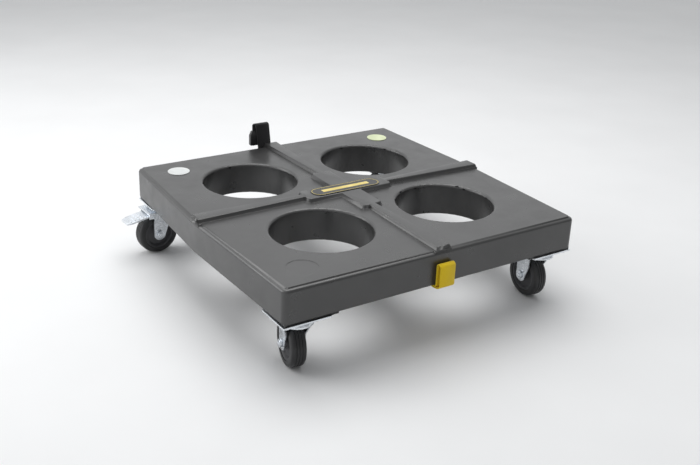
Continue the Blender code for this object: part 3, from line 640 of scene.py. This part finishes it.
@dataclass
class Webbing:
    """The yellow loop at the front and the black strap with its buckle at the back."""

    width: float = 0.038
    thickness: float = 0.0028
    edge: float = 0.0007
    gap: float = 0.0003
    full_thickness: float = 0.003
    corner_round: float = 0.004
    loop_stand: float = 0.015
    loop_below_ledge: float = 0.023
    loop_tail: float = 0.036
    ledge_z: float = 0.204
    underside_z: float = 0.132
    deck_half: float = 0.365
    strap_x: float = -0.008
    strap_top_x: float = -0.022
    strap_tail_x: float = -0.028
    strap_top_z: float = 0.269
    strap_fold: float = 0.004
    tail_end_z: float = 0.210
    front_margin: float = 0.045
    loop_x: float = 0.002
    corner_steps: int = 12
    loop_fold_steps: int = 20
    loop_return_steps: int = 14
    strap_fold_steps: int = 14
    smooth: float = 60.0
    buckle_edge: float = 1.0 * MM

    def band(self, name: str, path: list[Point], middle_y: float) -> bpy.types.Object:
        """A band of webbing along a path, with worn round edges and a map along it.

        Args:
            name: The band's name.
            path: The middle line's points, about the deck's middle.
            middle_y: Where the deck's middle stands along Y.

        Returns:
            The band.
        """
        half = self.width / 2
        thin = self.thickness / 2
        section = (
            (-half, -thin + self.edge), (-half + self.edge, -thin),
            (0.0, -thin), (half - self.edge, -thin), (half, -thin + self.edge),
            (half, thin - self.edge), (half - self.edge, thin),
            (0.0, thin), (-half + self.edge, thin), (-half, thin - self.edge),
        )
        mesh_data = bmesh.new()
        map_layer = mesh_data.loops.layers.uv.new("band")
        rows = []
        lengths = []
        travelled = 0.0
        last = Vector(path[0])
        for index, point in enumerate(path):
            here = Vector(point)
            travelled += (here - last).length
            last = here
            before = Vector(path[max(index - 1, 0)])
            after = Vector(path[min(index + 1, len(path) - 1)])
            run = Vector((0.0, after.y - before.y, after.z - before.z)).normalized()
            out = Vector((0.0, -run.z, run.y))
            centre = here + Vector((0.0, middle_y, 0.0))
            rows.append([
                mesh_data.verts.new(centre + Vector((across, 0.0, 0.0)) + out * rise)
                for across, rise in section
            ])
            lengths.append(travelled)
        for number, face in enumerate(skin(mesh_data, rows, closed=False)):
            row, index = divmod(number, len(section))
            after = (index + 1) % len(section)
            places = (
                (section[index][0], lengths[row]), (section[after][0], lengths[row]),
                (section[after][0], lengths[row + 1]), (section[index][0], lengths[row + 1]),
            )
            for corner, (across, along) in zip(face.loops, places):
                corner[map_layer].uv = (across / MM, along / MM)
        return linked(name, mesh_data)

    def loop_path(self) -> list[Point]:
        """The yellow loop's middle line, about the deck's middle."""
        wall = -self.deck_half
        corner = (wall + self.corner_round, self.underside_z + self.corner_round)
        close = self.corner_round + self.gap + self.full_thickness / 2
        inner = wall - self.gap - self.full_thickness / 2
        outer = wall - self.loop_stand + self.full_thickness / 2
        fold = (inner - outer) / 2
        fold_z = self.ledge_z - self.loop_below_ledge - fold
        lower = close + self.full_thickness + self.gap
        flat = [(corner[0] + self.loop_tail, corner[1] - close)]
        flat += arc(corner, (close, close), 270, 180, self.corner_steps)
        flat += arc(((inner + outer) / 2, fold_z), (fold, fold), 0, 180, self.loop_fold_steps)
        flat += arc(corner, (corner[0] - outer, lower), 180, 270, self.loop_return_steps)
        flat += [(corner[0] + self.loop_tail, corner[1] - lower)]
        return [(self.loop_x, along, height) for along, height in flat]

    def strap_path(self) -> list[Point]:
        """The black strap's middle line, about the deck's middle."""
        wall = self.deck_half
        corner = (wall - self.corner_round, self.underside_z + self.corner_round)
        close = self.corner_round + self.gap + self.full_thickness / 2
        rise_y = corner[0] + close
        fold_z = self.strap_top_z - self.strap_fold
        path = [(self.strap_x, -wall + self.front_margin, corner[1] - close)]
        turned = arc(corner, (close, close), -90, 0, self.corner_steps)
        path += [(self.strap_x, *pair) for pair in turned]
        centre = (rise_y + self.strap_fold, fold_z)
        fold = arc(centre, (self.strap_fold, self.strap_fold), 180, 0, self.strap_fold_steps)
        for index, pair in enumerate(fold):
            share = index / (len(fold) - 1)
            path.append((self.strap_top_x + share * (self.strap_tail_x - self.strap_top_x), *pair))
        path.append((self.strap_tail_x, rise_y + 2 * self.strap_fold, self.tail_end_z))
        return path

    def build(self, middle_y: float) -> None:
        """Build the bands and dress the buckle and screws.

        Args:
            middle_y: Where the deck's middle stands along Y.
        """
        yellow = self.band("yellow_loop", self.loop_path(), middle_y)
        dress(yellow, Finish.YELLOW, self.smooth)
        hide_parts("front_loop")
        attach(yellow, "root")
        black = self.band("folded_strap", self.strap_path(), middle_y)
        dress(black, Finish.BLACK, self.smooth)
        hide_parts("lashing_strap")
        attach(black, "root")
        buckle = copy_of("strap_buckle", "ladder_buckle")
        round_edges(buckle, self.buckle_edge)
        dress(buckle, Finish.BUCKLE)
        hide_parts("strap_buckle")
        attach(buckle, "root")
        for end in ("front", "back"):
            dress(frame["nodes"]["strap_screw_" + end], Finish.ZINC)


@dataclass
class Castor:
    """One swivel castor: its plate, fork, wheel and, at the back, its brake pedal."""

    corner: str
    wheel_radius: float = 0.0499
    tyre_half: float = 0.016
    tyre_seat: float = 0.0006
    shoulder: tuple[Pair, ...] = ((0.0075, 0.0), (0.0035, 0.0008), (0.0012, 0.0030), (0.0003, 0.0058))
    groove_places: Point = (-0.006, 0.0, 0.006)
    groove_depth: float = 0.0012
    groove_mouth: float = 0.0012
    groove_floor: float = 0.0006
    rim_radius: float = 0.0357
    web_half: float = 0.0070
    web_end: float = 0.84
    flare_end: float = 0.88
    flare_rise: float = 0.002
    lip_share: float = 0.92
    lip_start: float = 0.91
    lip_top: float = 0.93
    lip_drop: float = 0.0006
    boss_radius: float = 0.012
    boss_half: float = 0.0177
    boss_edge: float = 0.001
    boss_foot: float = 0.003
    bore: float = 0.0052
    wheel_steps: int = 96
    tyre_smooth: float = 50.0
    hub_smooth: float = 40.0
    fork_edge: float = 0.7 * MM
    small_edge: float = 0.4 * MM
    bolt_count: int = 4

    def place_on_axle(self, piece: bpy.types.Object) -> None:
        """Move a piece built about Z onto this castor's axle.

        Args:
            piece: The piece.
        """
        joint = next(one for one in frame["joints"] if one["name"] == "roll_" + self.corner)
        axis = Vector(joint["axis"]).normalized()
        turn = axis.to_track_quat("Z", "Y").to_matrix().to_4x4()
        piece.data.transform(Matrix.Translation(joint["pos_m"]) @ turn)

    def build_tyre(self) -> None:
        """The black tyre with a grooved tread and round shoulders."""
        outer = self.wheel_radius
        deep = outer - self.groove_depth
        side = [(self.rim_radius + self.tyre_seat, -self.tyre_half)]
        side += [(outer - drop, -self.tyre_half + inset) for drop, inset in self.shoulder]
        profile = list(side)
        for groove in self.groove_places:
            profile += [
                (outer, groove - self.groove_mouth), (deep, groove - self.groove_floor),
                (deep, groove + self.groove_floor), (outer, groove + self.groove_mouth),
            ]
        profile += [(radius, -height) for radius, height in reversed(side)]
        tyre = ring("tread_" + self.corner, profile, self.wheel_steps)
        self.place_on_axle(tyre)
        dress(tyre, Finish.TYRE, self.tyre_smooth)
        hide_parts("tyre_" + self.corner)
        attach(tyre, "wheel_" + self.corner)

    def build_hub(self) -> None:
        """The dark hub with its dished web and boss."""
        rim = self.rim_radius
        lip = self.tyre_half * self.lip_share
        boss = self.boss_radius
        edge = self.boss_edge
        side = [
            (self.bore, self.boss_half),
            (boss - edge, self.boss_half),
            (boss, self.boss_half - edge),
            (boss + edge, self.web_half + edge),
            (boss + self.boss_foot, self.web_half),
            (rim * self.web_end, self.web_half),
            (rim * self.flare_end, self.web_half + self.flare_rise),
            (rim * self.lip_start, lip - self.lip_drop),
            (rim * self.lip_top, lip),
            (rim, lip),
        ]
        profile = [(radius, -height) for radius, height in side]
        profile += [(radius, height) for radius, height in reversed(side)]
        hub = ring("hub_" + self.corner, profile, self.wheel_steps)
        self.place_on_axle(hub)
        dress(hub, Finish.HUB, self.hub_smooth)
        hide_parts("wheel_hub_" + self.corner)
        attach(hub, "wheel_" + self.corner)

    def build_pressing(self, node: str, name: str, body: str, width: float) -> None:
        """A steel piece whose cut edges are rounded.

        Args:
            node: The frame node that it stands for.
            name: The piece's name.
            body: The body it moves with.
            width: The rounding of its edges.
        """
        piece = copy_of(node, name)
        round_edges(piece, width)
        dress(piece, Finish.ZINC)
        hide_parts(node)
        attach(piece, body)

    def build(self) -> None:
        """Build and dress the whole castor."""
        self.build_tyre()
        self.build_hub()
        body = "castor_" + self.corner
        for node, name, edge in (
            ("fork_", "pressed_fork_", self.fork_edge),
            ("axle_bolt_", "bolt_head_", self.small_edge),
            ("axle_nut_", "lock_nut_", self.small_edge),
        ):
            self.build_pressing(node + self.corner, name + self.corner, body, edge)
        for node in ("top_plate_", "swivel_race_"):
            dress(frame["nodes"][node + self.corner], Finish.ZINC)
        for number in range(1, self.bolt_count + 1):
            dress(frame["nodes"]["plate_bolt_%s_%d" % (self.corner, number)], Finish.ZINC)
        if self.corner.startswith("back"):
            pedal = "brake_pedal_" + self.corner
            name = "pressed_pedal_" + self.corner
            self.build_pressing(pedal, name, "pedal_" + self.corner, self.small_edge)
            dress(frame["nodes"]["pedal_pin_" + self.corner], Finish.ZINC)


@dataclass
class Studio:
    """The pale floor, the soft light and the camera at the photograph's angle."""

    picture_width: float = 700.0
    sensor: float = 36.0
    focal_pixels: float = 920.6
    azimuth: float = -32.485
    elevation: float = 20.782
    roll: float = 1.842
    deck_unit: float = 0.722
    distance: float = 3.036
    target: Pair = (0.018, 0.118)
    deck_middle: float = -0.004
    shift_pixels: Pair = (20.0, -52.5)
    target_z: float = 0.204
    near_clip: float = 0.01
    lights: tuple[tuple[str, Point, float, float], ...] = (
        ("light_above", (0.2, 0.5, 2.6), 2.4, 46.0),
        ("light_left", (-2.2, 1.6, 1.5), 2.0, 30.0),
    )
    surround_white: Point = (0.98, 0.99, 1.0)
    bright_side: Point = (-0.45, 0.85, 0.25)
    dim_from: float = -0.6
    bright_from: float = 0.4
    dim_level: float = 0.4
    lit_share: float = 0.6
    floor_size: float = 14.0
    floor_z: float = -0.0002
    floor_dark: Point = (0.84, 0.845, 0.85)
    floor_light: Point = (0.87, 0.875, 0.88)
    floor_clouds: Pair = (3.0, 3.0)
    floor_roughness: float = 0.7

    def build_camera(self) -> None:
        """Stand the camera where the photograph was taken from."""
        turn = math.radians(self.azimuth)
        rise = math.radians(self.elevation)
        back = Vector((
            math.sin(turn) * math.cos(rise), -math.cos(turn) * math.cos(rise), math.sin(rise)))
        right = Vector((math.cos(turn), math.sin(turn), 0.0))
        up = back.cross(right)
        tilt = math.radians(self.roll)
        level = math.cos(tilt) * right + math.sin(tilt) * up
        upright = -math.sin(tilt) * right + math.cos(tilt) * up
        aim = Vector((
            self.deck_middle + self.target[0] * self.deck_unit,
            self.deck_middle + self.target[1] * self.deck_unit,
            self.target_z,
        ))
        eye = aim + back * self.distance * self.deck_unit
        data = bpy.data.cameras.new("camera")
        data.sensor_width = self.sensor
        data.lens = self.focal_pixels / self.picture_width * self.sensor
        data.shift_x = self.shift_pixels[0] / self.picture_width
        data.shift_y = self.shift_pixels[1] / self.picture_width
        data.clip_start = self.near_clip
        camera = bpy.data.objects.new("camera", data)
        bpy.context.scene.collection.objects.link(camera)
        axes = Matrix((level, upright, back)).transposed().to_4x4()
        camera.matrix_world = Matrix.Translation(eye) @ axes
        bpy.context.scene.camera = camera

    def build_lights(self) -> None:
        """A large soft light above and a weaker one from the back left."""
        for name, place, size, power in self.lights:
            data = bpy.data.lights.new(name, "AREA")
            data.size = size
            data.energy = power
            light = bpy.data.objects.new(name, data)
            light.location = place
            light.rotation_euler = (-Vector(place)).to_track_quat("-Z", "Y").to_euler()
            bpy.context.scene.collection.objects.link(light)

    def build_surround(self) -> None:
        """A white surround, brighter at the back left, at full strength only to the eye and in gloss."""
        world = bpy.data.worlds.new("surround")
        world.use_nodes = True
        tree = world.node_tree

        def figure(
            operation: str, first: bpy.types.NodeSocket, second: bpy.types.NodeSocket,
        ) -> bpy.types.NodeSocket:
            """Work out one value from two."""
            node = tree.nodes.new("ShaderNodeMath")
            node.operation = operation
            tree.links.new(first, node.inputs[0])
            tree.links.new(second, node.inputs[1])
            return node.outputs["Value"]

        place = tree.nodes.new("ShaderNodeTexCoord")
        facing = tree.nodes.new("ShaderNodeVectorMath")
        facing.operation = "DOT_PRODUCT"
        facing.inputs[1].default_value = self.bright_side
        tree.links.new(place.outputs["Generated"], facing.inputs[0])
        level = tree.nodes.new("ShaderNodeMapRange")
        level.inputs["From Min"].default_value = self.dim_from
        level.inputs["From Max"].default_value = self.bright_from
        level.inputs["To Min"].default_value = self.dim_level
        tree.links.new(facing.outputs["Value"], level.inputs["Value"])
        path = tree.nodes.new("ShaderNodeLightPath")
        seen = figure("ADD", path.outputs["Is Camera Ray"], path.outputs["Is Glossy Ray"])
        seen = figure("ADD", seen, path.outputs["Is Transmission Ray"])
        share = tree.nodes.new("ShaderNodeMapRange")
        share.inputs["To Min"].default_value = self.lit_share
        tree.links.new(seen, share.inputs["Value"])
        strength = figure("MULTIPLY", level.outputs["Result"], share.outputs["Result"])
        background = tree.nodes["Background"]
        background.inputs["Color"].default_value = (*self.surround_white, 1.0)
        tree.links.new(strength, background.inputs["Strength"])
        bpy.context.scene.world = world

    def build_floor(self) -> None:
        """A plain pale floor under the wheels."""
        bpy.ops.object.select_all(action="DESELECT")
        bpy.ops.mesh.primitive_plane_add(size=self.floor_size, location=(0.0, 0.0, self.floor_z))
        floor = bpy.context.object
        floor.name = "floor"
        graph = Graph("floor_pale")
        graph.mottle(*self.floor_clouds, self.floor_dark, self.floor_light)
        graph.shader.inputs["Roughness"].default_value = self.floor_roughness
        floor.data.materials.append(graph.material)

    def build(self) -> None:
        """Set up the whole studio."""
        self.build_camera()
        self.build_lights()
        self.build_surround()
        self.build_floor()
        bpy.context.scene.view_settings.view_transform = "Standard"


def main() -> None:
    """Build the studio and then every piece in order."""
    logging.basicConfig(level=logging.INFO)
    Studio().build()
    deck = Deck()
    deck.build()
    Webbing().build(deck.middle_y())
    for corner in CORNERS:
        Castor(corner).build()


if __name__ == "__main__":
    main()
